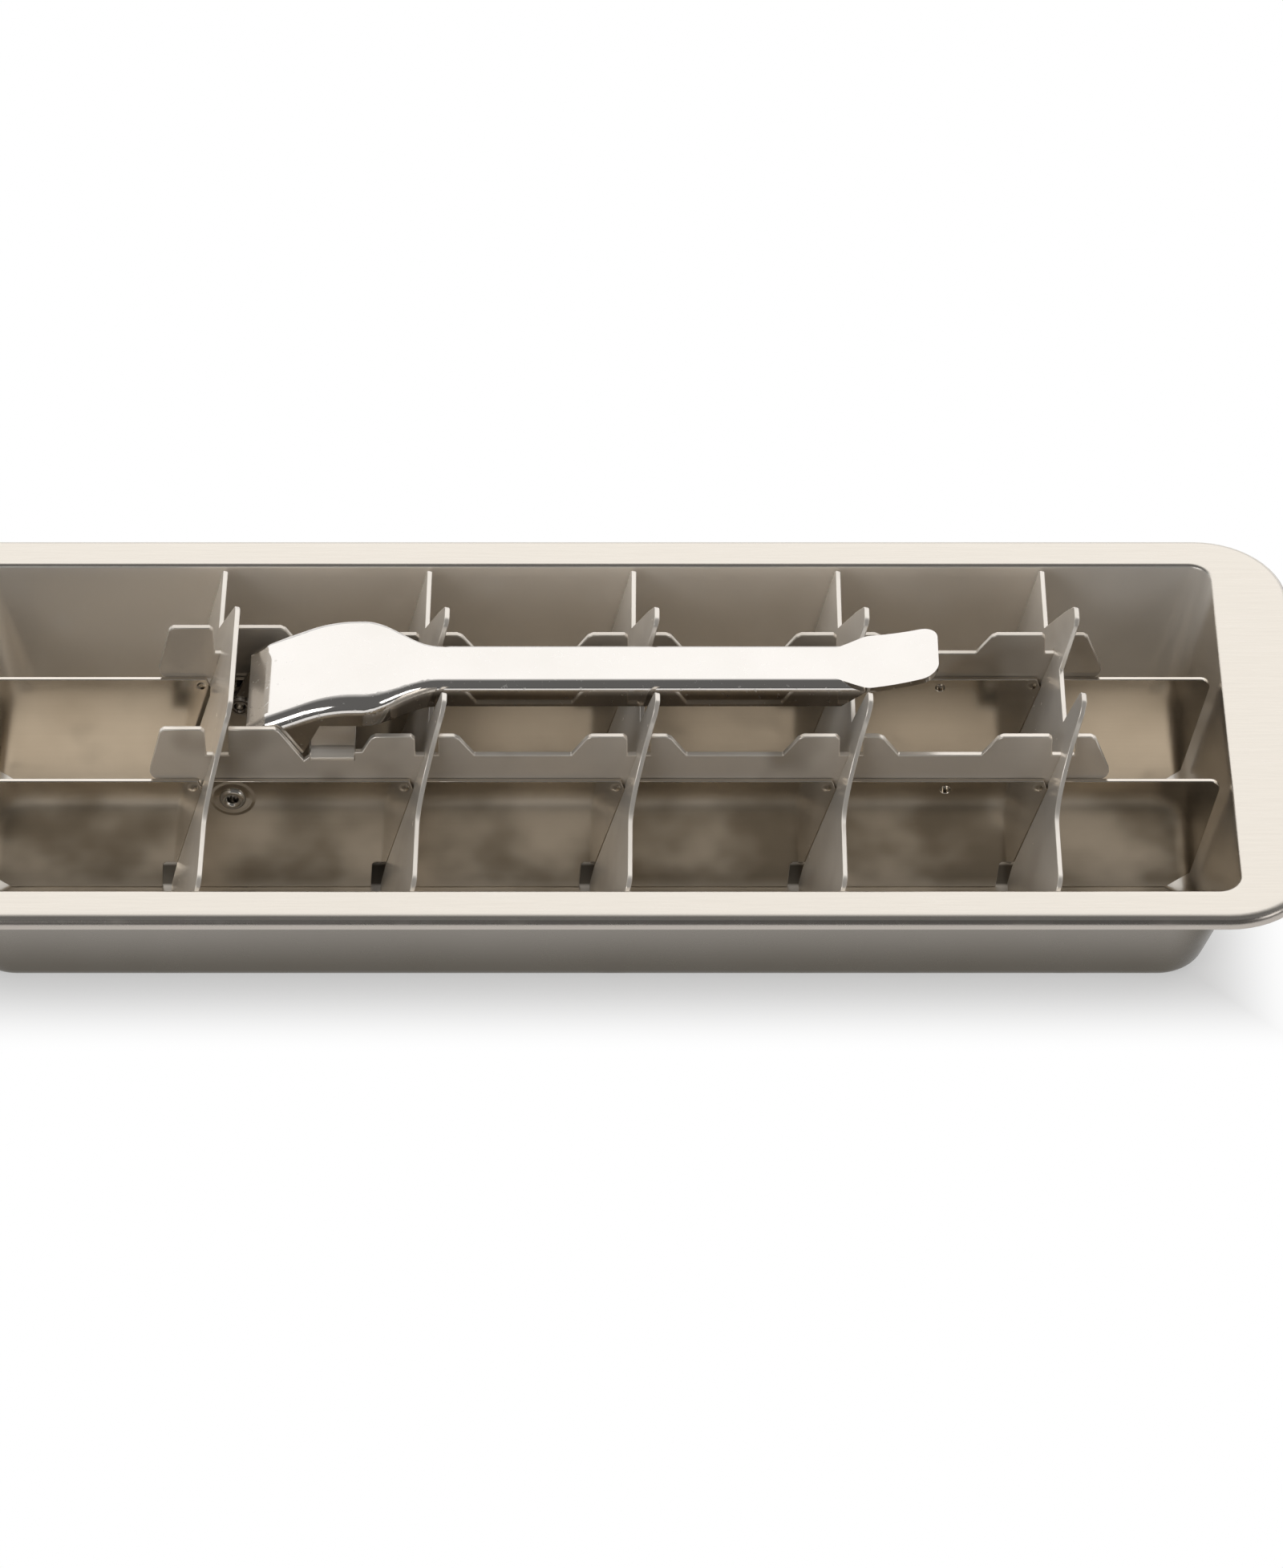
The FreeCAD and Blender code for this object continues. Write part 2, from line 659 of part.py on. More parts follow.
# ---- eyelets ------------------------------------------------------------
def make_eyelet(side):
    """Hollow rivet: flange outside, flared end inside, the lever's pivot."""
    outside = wall_face + wall_sheet
    if side > 0:
        outside = outside + 2 * slide_wall_gap + slide_sheet
    inside = ear_outer - lever_sheet - eyelet_play
    reach = inside - eyelet_flare_height
    crown = outside + eyelet_flange_height
    profile = [
        (eyelet_bore, reach), (eyelet_flare, reach), (eyelet_flare, inside),
        (eyelet_radius, inside), (eyelet_radius, outside), (eyelet_flange, outside),
        (eyelet_flange, crown), (eyelet_bore, crown)]
    ring = Part.Face(Part.makePolygon([Vector(r, 0, z) for r, z in profile + profile[:1]]))
    eyelet = ring.revolve(Vector(0, 0, 0), Vector(0, 0, 1), 360)
    eyelet.rotate(Vector(0, 0, 0), Vector(1, 0, 0), -90 * side)
    eyelet.translate(Vector(pivot_x, 0, pivot_z))
    return eyelet


# ---- build --------------------------------------------------------------
nodes = {
    "pan": make_pan(),
    "near_wall": make_wall(-1),
    "far_wall": make_wall(1),
    "slide_frame": make_slide_frame(),
    "lever": make_lever(),
    "near_eyelet": make_eyelet(-1),
    "far_eyelet": make_eyelet(1),
}
for index in range(blade_count):
    nodes["blade_%d" % (index + 1)] = make_blade(index)

for name, shape in nodes.items():
    if isinstance(shape, Part.Compound) and len(shape.Solids) == 1:
        shape = shape.Solids[0]
    shape.exportStep("parts/%s.step" % name)
    box = shape.BoundBox
    print("%-12s solids %d valid %s x %.1f..%.1f y %.1f..%.1f z %.1f..%.1f" % (
        name, len(shape.Solids), shape.isValid(), box.XMin, box.XMax,
        box.YMin, box.YMax, box.ZMin, box.ZMax))
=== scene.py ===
# %% [markdown]
# # Steel ice cube tray with a lever
# The tray is all stainless steel sheet, from about half a millimetre in the eyelets to
# 1.2 mm in the lever. What sets its parts apart is how each was finished: a drawn pan that
# stayed satin, stamped plates with bright cut edges, and a polished lever. This script
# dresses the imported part: it keeps the place and the outline of every piece and adds the
# rounded edges, the soft bends and the finishes that a maker would see.

import json
import math

import bmesh
import bpy
import numpy as np
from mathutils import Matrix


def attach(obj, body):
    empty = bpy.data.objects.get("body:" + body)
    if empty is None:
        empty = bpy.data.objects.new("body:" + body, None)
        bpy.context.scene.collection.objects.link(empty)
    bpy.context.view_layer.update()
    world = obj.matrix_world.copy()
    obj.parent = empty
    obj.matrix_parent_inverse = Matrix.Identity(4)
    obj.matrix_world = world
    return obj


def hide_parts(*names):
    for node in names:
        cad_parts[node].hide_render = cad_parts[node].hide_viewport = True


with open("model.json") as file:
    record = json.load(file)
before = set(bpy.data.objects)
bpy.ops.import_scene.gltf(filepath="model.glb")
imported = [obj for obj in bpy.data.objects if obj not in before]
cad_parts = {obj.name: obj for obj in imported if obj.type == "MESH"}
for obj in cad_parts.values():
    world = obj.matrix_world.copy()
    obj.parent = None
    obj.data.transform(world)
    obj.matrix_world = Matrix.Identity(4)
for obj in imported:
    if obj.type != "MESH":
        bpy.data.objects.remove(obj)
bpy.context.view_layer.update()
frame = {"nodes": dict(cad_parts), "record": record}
nodes = frame["nodes"]
MM = 0.001
print("pieces:", ", ".join(sorted(nodes)))

# %% [markdown]
# ## Writing materials as expressions
# A finish is a sum of small effects: a base colour, a stain, a hairline, a worn edge.
# Built by hand in the node editor it becomes a web of Math nodes that is hard to read.
# Here a small class wraps the output of a node, so that a plus or a star in Python adds
# the Math node for it, and one method adds any other node.

# %% A wire between nodes
# A Mix node has a set of sockets for each kind of data. These are the colour's.
MIX_SHARE, MIX_LOW, MIX_HIGH, MIX_RESULT = 0, 6, 7, 2


class Wire:
    """The output of a node. Arithmetic on wires adds Math nodes to their material."""

    def __init__(self, tree, socket):
        self.tree = tree
        self.socket = socket

    def node(self, kind, settings, inputs, output=0):
        """Add a node: first its settings, then values or wires into its sockets."""
        made = self.tree.nodes.new(kind)
        for name, value in settings.items():
            setattr(made, name, value)
        for name, value in inputs.items():
            if isinstance(value, Wire):
                self.tree.links.new(value.socket, made.inputs[name])
            else:
                made.inputs[name].default_value = value
        return Wire(self.tree, made.outputs[output])

    def math(self, operation, *others):
        """A Math node on this wire and up to two more numbers or wires."""
        inputs = dict(enumerate((self,) + others))
        return self.node("ShaderNodeMath", {"operation": operation}, inputs)

    def __add__(self, other):
        return self.math("ADD", other)

    __radd__ = __add__

    def __mul__(self, other):
        return self.math("MULTIPLY", other)

    def __sub__(self, other):
        return self.math("SUBTRACT", other)

    def __rsub__(self, other):
        return (self * -1.0) + other

    def __abs__(self):
        return self.math("ABSOLUTE")

    def highest(self, other):
        """The higher of this wire and another."""
        return self.math("MAXIMUM", other)

    def step(self, start, end):
        """Smooth step: 0 at start, 1 at end, held beyond both; end may be the lower one."""
        inputs = {"Value": self, "From Min": start, "From Max": end}
        return self.node("ShaderNodeMapRange", {"interpolation_type": "SMOOTHSTEP"}, inputs)

    def band(self, middle, half, soft):
        """1 within half of the middle, falling to 0 over soft."""
        return 1.0 - abs(self - middle).step(half, half + soft)

    def mix(self, low, high):
        """A colour between two colours, this wire being the share of the second."""
        inputs = {MIX_SHARE: self, MIX_LOW: low, MIX_HIGH: high}
        return self.node("ShaderNodeMix", {"data_type": "RGBA"}, inputs, output=MIX_RESULT)

    def split(self):
        """The X, Y and Z of a vector wire."""
        parts = self.tree.nodes.new("ShaderNodeSeparateXYZ")
        self.tree.links.new(self.socket, parts.inputs[0])
        return [Wire(self.tree, part) for part in parts.outputs]

    def stretched(self, x, y, z, turn=0.0):
        """A vector wire scaled along each axis, then turned about Z by some degrees.

        A stretch draws noise out into lines along the axis with the smallest scale. A turn
        that comes after it gives the noise another pattern, but doesn't slant the lines.
        """
        inputs = {"Vector": self, "Scale": (x, y, z), "Rotation": (0, 0, math.radians(turn))}
        return self.node("ShaderNodeMapping", {"vector_type": "POINT"}, inputs)

    def noise(self, scale, detail, roughness):
        """Cloudy noise from 0 to 1 at this place; scale is in waves per millimetre."""
        inputs = {"Vector": self, "Scale": scale, "Detail": detail, "Roughness": roughness}
        return self.node("ShaderNodeTexNoise", {"noise_dimensions": "3D"}, inputs)


def start_material(name):
    """A new material and a wire with the place on the object, in millimetres."""
    material = bpy.data.materials.new(name)
    material.use_nodes = True
    tree = material.node_tree
    tree.nodes.clear()
    metres = Wire(tree, tree.nodes.new("ShaderNodeTexCoord").outputs["Object"])
    scale = {0: metres, "Scale": 1.0 / MM}
    return material, metres.node("ShaderNodeVectorMath", {"operation": "SCALE"}, scale)


def end_material(material, colour, roughness, height, depth, metallic=1.0):
    """Join colour, roughness, metallic share and a bump, in millimetres, to the shader."""
    relief = {"Height": height, "Distance": depth * MM, "Strength": 1.0}
    bump = height.node("ShaderNodeBump", {}, relief)
    finish = {"Base Color": colour, "Roughness": roughness, "Metallic": metallic, "Normal": bump}
    shader = height.node("ShaderNodeBsdfPrincipled", {}, finish)
    tree = material.node_tree
    out = tree.nodes.new("ShaderNodeOutputMaterial")
    tree.links.new(shader.socket, out.inputs[0])
    print("finish:", material.name, len(tree.nodes), "nodes")
    return material


# %% [markdown]
# ## The pan's finish
# Stainless steel reflects a little over half of the light and is slightly warm. The rim
# was polished with a fine belt along the tray, so it has faint hairlines. Inside, the pan
# has the satin of drawn sheet, with pale water marks where ice has melted many times. Its
# outside is duller. Three materials would need the mesh cut along the rim. Here one holds
# all three: the rim is told by its height, and the surface carries an attribute that says
# which of its points lie outside.

# %% Pan finish
RIM_HEIGHT = 31.0
BLADE_PITCH = 41.9
DRAIN_X = -82.8
DRAIN_Y = -12.0
FLOOR_EDGE_Y = -15.0
FAR_WALL_Y = (36.0, 43.0)
LAST_CELL_X = (85.0, 110.0)
PAN_END_X = (114.0, 124.0)
ROLLED_EDGE_Z = (RIM_HEIGHT - 2.9, RIM_HEIGHT - 2.2)

SATIN_LOW = (0.80, 0.75, 0.68, 1)
SATIN_HIGH = (0.95, 0.895, 0.82, 1)
WATER_MARK = (0.90, 0.86, 0.79, 1)
# Painted shade: near black for the floor under each water passage.
DRAIN_PAINTED_SHADE = (0.08, 0.065, 0.045, 1)
# Painted light: a paler colour for the far inner wall, which is brightly lit.
FAR_WALL_PAINTED_LIGHT = (0.96, 0.915, 0.85, 1)
FLOOR_TARNISH = (0.22, 0.187, 0.14, 1)
OUTSIDE = (0.29, 0.267, 0.24, 1)
# Painted reflection: the dark that the lower outside wall mirrors from the shaded table.
FOOT_PAINTED_REFLECTION = (0.135, 0.118, 0.092, 1)
# Painted reflection: the shaded table mirrored by the pan's ends.
END_PAINTED_REFLECTION = (0.11, 0.094, 0.072, 1)
ROLLED_EDGE = (0.46, 0.42, 0.38, 1)
RIM_LOW = (0.61, 0.565, 0.505, 1)
RIM_HIGH = (0.69, 0.645, 0.58, 1)


def from_nearest(place, first):
    """The way from the nearest of a row of places that lie one blade pitch apart."""
    return (place - first).math("WRAP", BLADE_PITCH / 2, -BLADE_PITCH / 2)


def make_pan_steel():
    """Three finishes told apart by two masks, outside and rim.

    Inside, each effect is mixed over the one before by its own mask: water marks, a painted
    shade on the floor under the water passages, painted light on the far wall, tarnish along
    the near floor. Outside, the steel darkens to the foot and the ends, a painted reflection
    of the shaded table, and is paler on the rolled edge. On the rim the hairlines run between
    two greys. The far inner wall is less metallic, which lets it scatter some light and look
    lighter.
    """
    material, place = start_material("satin drawn steel")
    x, y, z = place.split()
    outside = place.node("ShaderNodeAttribute", {"attribute_name": "outside"}, {}, output="Fac")
    rim = z.step(RIM_HEIGHT - 0.5, RIM_HEIGHT - 0.15)
    inside = 1.0 - outside
    far_wall = y.step(*FAR_WALL_Y)

    along_rim = place.stretched(0.10, 2.6, 2.6, turn=32.0)
    hairline = along_rim.noise(scale=1.0, detail=3.0, roughness=0.6)
    drawn = place.stretched(0.3, 0.3, 0.05).noise(scale=0.5, detail=2.0, roughness=0.5)
    cloud = place.noise(scale=0.035, detail=3.0, roughness=0.55)
    broad = place.noise(scale=0.03, detail=0.0, roughness=0.5)
    stain = place.noise(scale=0.09, detail=4.0, roughness=0.6).step(0.5, 0.75) * (1.0 - rim)
    tarnish = place.noise(scale=0.035, detail=3.0, roughness=0.5).step(0.36, 0.62)
    near_floor = (y - FLOOR_EDGE_Y).step(2.0, -4.0) * z.step(5.0, 1.5) * inside
    drain = abs(from_nearest(x, DRAIN_X)).step(5.0, 3.5)
    # Painted shade: the floor under each water passage, where it lies in shade, is made near black.
    drain_shade = drain * y.band(DRAIN_Y, 2.5, 1.0) * z.step(1.5, 1.0) * inside

    inner = (cloud * 0.7 + drawn * 0.3).mix(SATIN_LOW, SATIN_HIGH)
    inner = (stain * 0.35).mix(inner, WATER_MARK)
    inner = (drain_shade * 0.9).mix(inner, DRAIN_PAINTED_SHADE)
    # Painted light: the far inner wall is made paler, for the light it mirrors from the lit far
    # plate.
    inner = (far_wall * 0.7).mix(inner, FAR_WALL_PAINTED_LIGHT)
    inner = (tarnish * near_floor * 0.8).mix(inner, FLOOR_TARNISH)
    # Painted reflection: the outside darkens towards the foot, for the table in the pan's shadow
    # that it mirrors.
    foot = z.step(20.0, 0.5)
    outer = (foot * 0.75 + cloud * 0.25).mix(OUTSIDE, FOOT_PAINTED_REFLECTION)
    # Painted reflection: the outside is darker at the ends, for the shaded table that they mirror.
    outer = abs(x).step(*PAN_END_X).mix(outer, END_PAINTED_REFLECTION)
    outer = z.step(*ROLLED_EDGE_Z).mix(outer, ROLLED_EDGE)
    top = hairline.mix(RIM_LOW, RIM_HIGH)
    colour = rim.mix(outside.mix(inner, outer), top)
    roughness = 0.27 - outside * 0.03 - rim * 0.03 + stain * 0.08 + hairline * 0.05
    height = hairline * rim * 0.5 + broad * (2.0 - rim * 1.4)
    scattering = far_wall * inside * (1.0 - rim)
    metallic = 1.0 - scattering * (x.step(*LAST_CELL_X) * 0.35 + 0.30)
    return end_material(material, colour, roughness, height, depth=0.012, metallic=metallic)


pan_steel = make_pan_steel()

# %% [markdown]
# ## The stamped plates' finish
# Walls, blades and slide frame are stamped from bright cold-rolled sheet. Rolling leaves
# streaks one way along the sheet, so the noise is stretched in that direction. A sheet is
# never quite flat: a broad, very shallow bump makes its reflections wander. The dimples
# beside the notches and the ring pressed round the eyelet are shallower than the sheet is
# thick, so a bump shows them without one more face.

# %% Sheet finish
DIMPLE_X = -78.2
DIMPLE_Z = 27.8
PIVOT = (-70.38, 24.9)
ALONG_X = (0.03, 1.0, 1.4)
ALONG_Y = (1.0, 0.03, 1.2)

WORN_MARK = (0.84, 0.79, 0.71, 1)
# Painted shade for the far half of a sheet.
FAR_PAINTED_SHADE = (0.20, 0.165, 0.12, 1)
SHEET_TARNISH = (0.36, 0.30, 0.22, 1)
# Painted shade for the hollows of the dimples and the pressed ring.
DIMPLE_PAINTED_SHADE = (0.30, 0.26, 0.20, 1)


def distance(across, up):
    """The root of across squared plus up squared."""
    return (across * across + up * up).math("SQRT")


def make_sheet_steel(name, streak, low, high, shine, tarnished, metallic=1.0, far_shade=0.0):
    """Rolled sheet between two colours, with marks, tarnish, dimples and a pressed ring, with
    painted shade in the dimples and the ring.

    streak stretches the rolling marks, shine is the least roughness, tarnished and
    far_shade are the shares of two darker colours, the second a painted shade on the far half only.
    """
    material, place = start_material(name)
    x, y, z = place.split()
    roll = place.stretched(*streak).noise(scale=1.0, detail=3.0, roughness=0.6)
    cloud = place.noise(scale=0.05, detail=3.0, roughness=0.55)
    broad = place.noise(scale=0.05, detail=0.0, roughness=0.5)
    mark = place.noise(scale=0.25, detail=5.0, roughness=0.65).step(0.56, 0.78)
    tarnish = place.noise(scale=0.045, detail=2.0, roughness=0.5).step(0.48, 0.66)
    dimple = distance(from_nearest(x, DIMPLE_X), z - DIMPLE_Z).step(1.1, 0.3)
    pressed = distance(x - PIVOT[0], z - PIVOT[1]).band(3.6, 0.2, 0.9)

    colour = (cloud * 0.8 + roll * 0.2).mix(low, high)
    colour = (mark * 0.15).mix(colour, WORN_MARK)
    # Painted shade: the far half of the sheet is darker, as it lies more in shade.
    colour = (y.step(0.0, 12.0) * far_shade).mix(colour, FAR_PAINTED_SHADE)
    colour = (tarnish * tarnished).mix(colour, SHEET_TARNISH)
    # Painted shade: the dimples and the pressed ring round the eyelet are darkened in colour, as
    # their hollows would be in shade.
    colour = (dimple * 0.5 + pressed * 0.15).mix(colour, DIMPLE_PAINTED_SHADE)
    roughness = shine + roll * 0.03 + mark * 0.05 + cloud * 0.06
    height = broad - dimple * 6.0 - pressed * 2.0
    return end_material(material, colour, roughness, height, depth=0.03, metallic=metallic)


wall_steel = make_sheet_steel("bright wall sheet", ALONG_X,
                              low=(0.58, 0.53, 0.46, 1), high=(0.80, 0.745, 0.67, 1),
                              shine=0.08, tarnished=0.1)
blade_steel = make_sheet_steel("bright blade sheet", ALONG_Y,
                               low=(0.86, 0.795, 0.71, 1), high=(0.99, 0.93, 0.85, 1),
                               shine=0.19, tarnished=0.15, metallic=0.42)
slide_steel = make_sheet_steel("bright slide sheet", ALONG_X,
                               low=(0.84, 0.765, 0.67, 1), high=(0.98, 0.91, 0.82, 1),
                               shine=0.17, tarnished=0.55, metallic=0.50, far_shade=0.25)

# %% [markdown]
# ## The lever's polish
# The lever is handled, so it was polished until it mirrors. What keeps a mirror finish
# from looking like glass is fine: pinhead spots of dried water. The lower part of the
# bar's skirts is darkened in colour, a painted shade for the shadow under the bar. Both
# are masks, one from noise and one from the place. The eyelets are bright too, with fine
# lines along their axis, as drawn tube has them.

# %% Lever and eyelet finish
SKIRT_TOP_Z = 45.2
BAR_START_X = (-48.0, -38.0)

POLISH_LOW = (0.66, 0.63, 0.59, 1)
POLISH_HIGH = (0.74, 0.71, 0.68, 1)
DRIED_SPOT = (0.80, 0.78, 0.74, 1)
# Painted shade for the lower part of the bar's skirts.
SKIRT_PAINTED_SHADE = (0.17, 0.14, 0.105, 1)
EYELET_LOW = (0.50, 0.47, 0.43, 1)
EYELET_HIGH = (0.66, 0.63, 0.58, 1)


def make_lever_steel():
    """Two greys by a cloud, then spots and a painted shade on the skirts, each over the one before.
    """
    material, place = start_material("polished lever steel")
    x, _, z = place.split()
    cloud = place.noise(scale=0.06, detail=3.0, roughness=0.5)
    spot = place.noise(scale=1.1, detail=2.0, roughness=0.5).step(0.64, 0.70)
    haze = place.noise(scale=0.35, detail=4.0, roughness=0.6)
    skirt = (SKIRT_TOP_Z - z).step(0.0, 1.6) * x.step(*BAR_START_X)
    colour = cloud.mix(POLISH_LOW, POLISH_HIGH)
    colour = (spot * 0.5).mix(colour, DRIED_SPOT)
    # Painted shade: the skirts below their top are darkened, for the shadow under the bar.
    colour = (skirt * 0.85).mix(colour, SKIRT_PAINTED_SHADE)
    roughness = 0.05 + spot * 0.25 + haze * 0.03
    height = cloud + haze * 0.12
    return end_material(material, colour, roughness, height, depth=0.010)


def make_eyelet_steel():
    """Two greys by a cloud, with fine lines along the axis in its bump."""
    material, place = start_material("bright eyelet steel")
    cloud = place.noise(scale=0.6, detail=3.0, roughness=0.5)
    lines = place.stretched(2.0, 0.3, 2.0).noise(scale=2.0, detail=3.0, roughness=0.6)
    colour = cloud.mix(EYELET_LOW, EYELET_HIGH)
    roughness = 0.14 + cloud * 0.1
    height = lines * 0.4 + cloud
    return end_material(material, colour, roughness, height, depth=0.006)


lever_steel = make_lever_steel()
eyelet_steel = make_eyelet_steel()

# %% [markdown]
# ## Rounded cut edges
# A stamped edge is never knife sharp: it catches a thin bright line of light all along
# the sheet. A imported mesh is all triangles, and its points are doubled wherever two faces
# meet at an angle, so a bevel would find no edges to round. Each stamped plate is copied,
# its doubled points are merged and its flat triangles joined, and a Bevel modifier rounds
# the sharp edges that are left.

# %% Dress a stamped piece
WALL_EDGE = 0.14
BLADE_EDGE = 0.16
SLIDE_EDGE = 0.18
BLADE_COUNT = 5
MERGE_DISTANCE = 0.03
FLAT_ANGLE = math.radians(0.5)
SHARP_ANGLE = math.radians(35.0)

bodies = frame["record"]["behaviour"]["bodies"]
body_of = {name: body for body, names in bodies.items() for name in names}


def placed(mesh, body, material, replaced):
    """Put a finished mesh into the scene on its body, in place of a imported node."""
    mesh.materials.clear()
    mesh.materials.append(material)
    piece = bpy.data.objects.new(mesh.name, mesh)
    bpy.context.scene.collection.objects.link(piece)
    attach(piece, body)
    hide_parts(replaced)
    print(piece.name, len(mesh.polygons), "faces")
    return piece


def merge_flat_faces(mesh):
    """Merge doubled points, join flat triangles, and mark each edge soft or sharp."""
    work = bmesh.new()
    work.from_mesh(mesh)
    bmesh.ops.remove_doubles(work, verts=work.verts, dist=MERGE_DISTANCE * MM)
    bmesh.ops.dissolve_limit(work, angle_limit=FLAT_ANGLE, verts=work.verts, edges=work.edges)
    for face in work.faces:
        face.smooth = True
    for edge in work.edges:
        edge.smooth = edge.calc_face_angle(0.0) < SHARP_ANGLE
    work.to_mesh(mesh)
    work.free()


def dressed(name, material, width):
    """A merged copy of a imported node, with its edges rounded to a width in millimetres."""
    mesh = nodes[name].data.copy()
    mesh.name = name + "_sheet"
    merge_flat_faces(mesh)
    bevel = placed(mesh, body_of[name], material, name).modifiers.new("cut edge", "BEVEL")
    bevel.width = width * MM
    bevel.segments = 2
    bevel.limit_method = "ANGLE"
    bevel.angle_limit = SHARP_ANGLE
    bevel.use_clamp_overlap = False


for name in ("near_wall", "far_wall"):
    dressed(name, wall_steel, WALL_EDGE)
for index in range(1, BLADE_COUNT + 1):
    dressed("blade_%d" % index, blade_steel, BLADE_EDGE)
dressed("slide_frame", slide_steel, SLIDE_EDGE)

# %% [markdown]
# ## The drawn pan along its sheet
# The pan is pressed from one flat sheet, so every horizontal cut through it is a rounded
# rectangle: small and soft at the floor, sharper at the mouth, wide at the rim. Fillets
# on a box would give each corner one radius. A surface of two parameters can change it on
# the way: one runs round the rectangle, the other along the sheet, from the floor up the
# wall, over the rim, round its rolled edge and back underneath. Each step along the sheet
# is four numbers: half length, half width, corner radius and height.

# %% Walls, bends and flats along the sheet
SHEET = 0.7
MOUTH_HALF_LENGTH = 127.45
MOUTH_HALF_WIDTH = 48.5
END_INSET = 6.1
SIDE_INSET = 7.8
END_LEAN = math.atan(END_INSET / (RIM_HEIGHT - SHEET))
SIDE_LEAN = math.atan(SIDE_INSET / (RIM_HEIGHT - SHEET))
FLOOR_CORNER = 8.5
MOUTH_CORNER = 4.4
LEAST_CORNER = 0.6
FLOOR_BEND = 3.3


def wall_station(heights, grow):
    """Stations up the leaning wall, whose foot runs into the floor in one bend.

    grow is 0 for the inside of the sheet and its thickness for the outside. At height z
    the wall stands at its mouth distance less (rim height - z) tan(lean), plus
    grow / cos(lean). In the bend, of radius r and with its centre r above the floor, the
    distance is the centre's plus sqrt(r^2 - (r - height over the floor)^2). The corner
    radius goes evenly from the floor's to the mouth's, plus grow, less what the bend
    takes away from the half width.
    """
    floor = SHEET - grow
    bend = FLOOR_BEND + grow
    over = heights - floor
    stations = []
    for mouth, lean in ((MOUTH_HALF_LENGTH, END_LEAN), (MOUTH_HALF_WIDTH, SIDE_LEAN)):
        wall = mouth - (RIM_HEIGHT - heights) * math.tan(lean) + grow / math.cos(lean)
        foot = mouth - (RIM_HEIGHT - floor - bend) * math.tan(lean) + grow / math.cos(lean)
        centre = foot - bend / math.cos(lean)
        arc = centre + np.sqrt(np.maximum(bend ** 2 - (bend - over) ** 2, 0.0))
        low = over < bend * (1 - math.sin(lean))
        stations.append(np.where(low, arc, wall))
    length, width = stations
    plain = MOUTH_HALF_WIDTH - (RIM_HEIGHT - heights) * math.tan(SIDE_LEAN) + grow
    share = (heights - SHEET) / (RIM_HEIGHT - SHEET)
    corner = FLOOR_CORNER + (MOUTH_CORNER - FLOOR_CORNER) * share + grow - (plain - width)
    return np.stack([length, width, np.maximum(corner, LEAST_CORNER), heights], 1)


def arc_station(length, width, corner, height, radius, start, end, count):
    """Stations round a bend about a centre line: radius (sin t, cos t) for t in degrees."""
    turn = np.radians(np.linspace(start, end, count))
    out = radius * np.sin(turn)
    return np.stack([length + out, width + out, corner + out, height + radius * np.cos(turn)], 1)


def flat_station(first, last, count):
    """Stations evenly between two others, their ends left out."""
    share = np.linspace(0, 1, count + 2)[1:-1, None]
    return first[None] * (1 - share) + last[None] * share


print("walls lean %.1f and %.1f degrees" % (math.degrees(END_LEAN), math.degrees(SIDE_LEAN)))

# %% [markdown]
# ## Over the rim and back
# The rim is what the hand holds, so its edge is rolled down and no cut edge shows. The
# sheet goes out flat, turns down through a quarter round and ends in a half round of its
# own thickness. From there the underside comes back the same way. The walls and bends
# above are strung together in that order.

# %% Stations of the whole sheet
RIM_HALF_LENGTH = 142.9
RIM_HALF_WIDTH = 57.1
RIM_CORNER = 18.4
RIM_DROP = 2.6
ROLL = 2.0
HEM = SHEET / 2
MOUTH_BEND = 0.9
COLLAR = 0.6
BEND_TURN = 74.0
BEND_STEPS = 9
INNER_STEPS = 14
OUTER_STEPS = 12
HEEL_TOP = 5.0
ROLL_STEPS_ABOVE = 4


def bend_heights(radius, start, end):
    """Heights above its floor at equal turns of a bend: radius (1 - cos t)."""
    return radius * (1 - np.cos(np.radians(np.linspace(start, end, BEND_STEPS))))


def rim_edge(inset, height, radius, start, end, count):
    """A bend round the rim's edge, its centre line inset from the rim's outline."""
    return arc_station(RIM_HALF_LENGTH - inset, RIM_HALF_WIDTH - inset, RIM_CORNER - inset,
                       height, radius, start, end, count)


def pan_stations():
    """The whole sheet: up the inside, over the rim, round the edge, down the outside.

    Also returns how many stations come before the lower half of the rolled edge.
    """
    foot = SHEET + bend_heights(FLOOR_BEND, 0, BEND_TURN)
    bend_top = RIM_HEIGHT - MOUTH_BEND
    tangent = bend_top + MOUTH_BEND * math.sin(SIDE_LEAN)
    up_wall = np.linspace(foot[-1], tangent, INNER_STEPS)[1:-1]
    inside = wall_station(np.concatenate([foot, up_wall]), 0.0)
    reach_x = MOUTH_HALF_LENGTH + MOUTH_BEND * (1 - math.sin(END_LEAN)) / math.cos(END_LEAN)
    reach_y = MOUTH_HALF_WIDTH + MOUTH_BEND * (1 - math.sin(SIDE_LEAN)) / math.cos(SIDE_LEAN)
    mouth = arc_station(reach_x, reach_y, MOUTH_CORNER + MOUTH_BEND, bend_top, MOUTH_BEND,
                        math.degrees(SIDE_LEAN) - 90, 0, count=7)
    roll = rim_edge(ROLL, RIM_HEIGHT - ROLL, ROLL, 0, 90, count=9)
    top = flat_station(mouth[-1], roll[0], count=6)

    edge = rim_edge(HEM, RIM_HEIGHT - RIM_DROP + HEM, HEM, 90, 270, count=7)
    under = rim_edge(ROLL, RIM_HEIGHT - ROLL, ROLL - SHEET, 90, 0, count=6)
    down_wall = np.linspace(RIM_HEIGHT - SHEET - COLLAR, HEEL_TOP, OUTER_STEPS)
    outside = wall_station(down_wall, SHEET)
    collar = outside[0] + COLLAR
    beneath = flat_station(under[-1], collar, count=3)
    base = wall_station(bend_heights(FLOOR_BEND + SHEET, BEND_TURN, 0), SHEET)

    above = np.concatenate([inside, mouth, top, roll[:ROLL_STEPS_ABOVE]])
    below = np.concatenate([roll[ROLL_STEPS_ABOVE:], edge, under, beneath, collar[None],
                            outside, base])
    return np.concatenate([above, below]), len(above)


